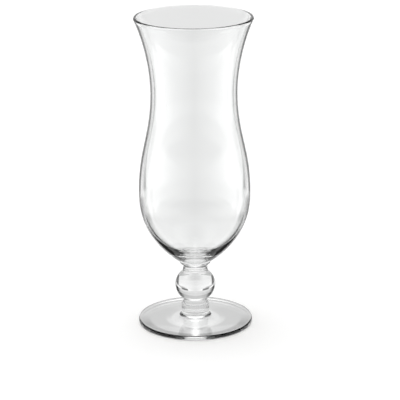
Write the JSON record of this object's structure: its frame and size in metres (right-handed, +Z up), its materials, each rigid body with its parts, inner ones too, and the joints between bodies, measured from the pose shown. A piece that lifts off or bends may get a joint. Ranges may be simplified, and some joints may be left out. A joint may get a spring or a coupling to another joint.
{
  "type": "hurricane glass",
  "caption": "Tall footed cocktail glass with a flared mouth, narrow waist and round belly, on a short stem with a ball knop and a round foot.",
  "frame": {"origin": "middle of the circle that the foot stands on", "axes": "+Z up along the glass's own axis, from the foot to the rim; X and Y are free, because every piece is round about Z"},
  "size_m": [0.0764, 0.0764, 0.205],
  "materials": {
    "clear_glass": "fire-polished clear soda-lime glass"
  },
  "bodies": {
    "root": {"foot": "clear_glass", "lower_collar": "clear_glass", "ball_knop": "clear_glass", "upper_collar": "clear_glass", "bowl": "clear_glass"}
  },
  "joints": []
}
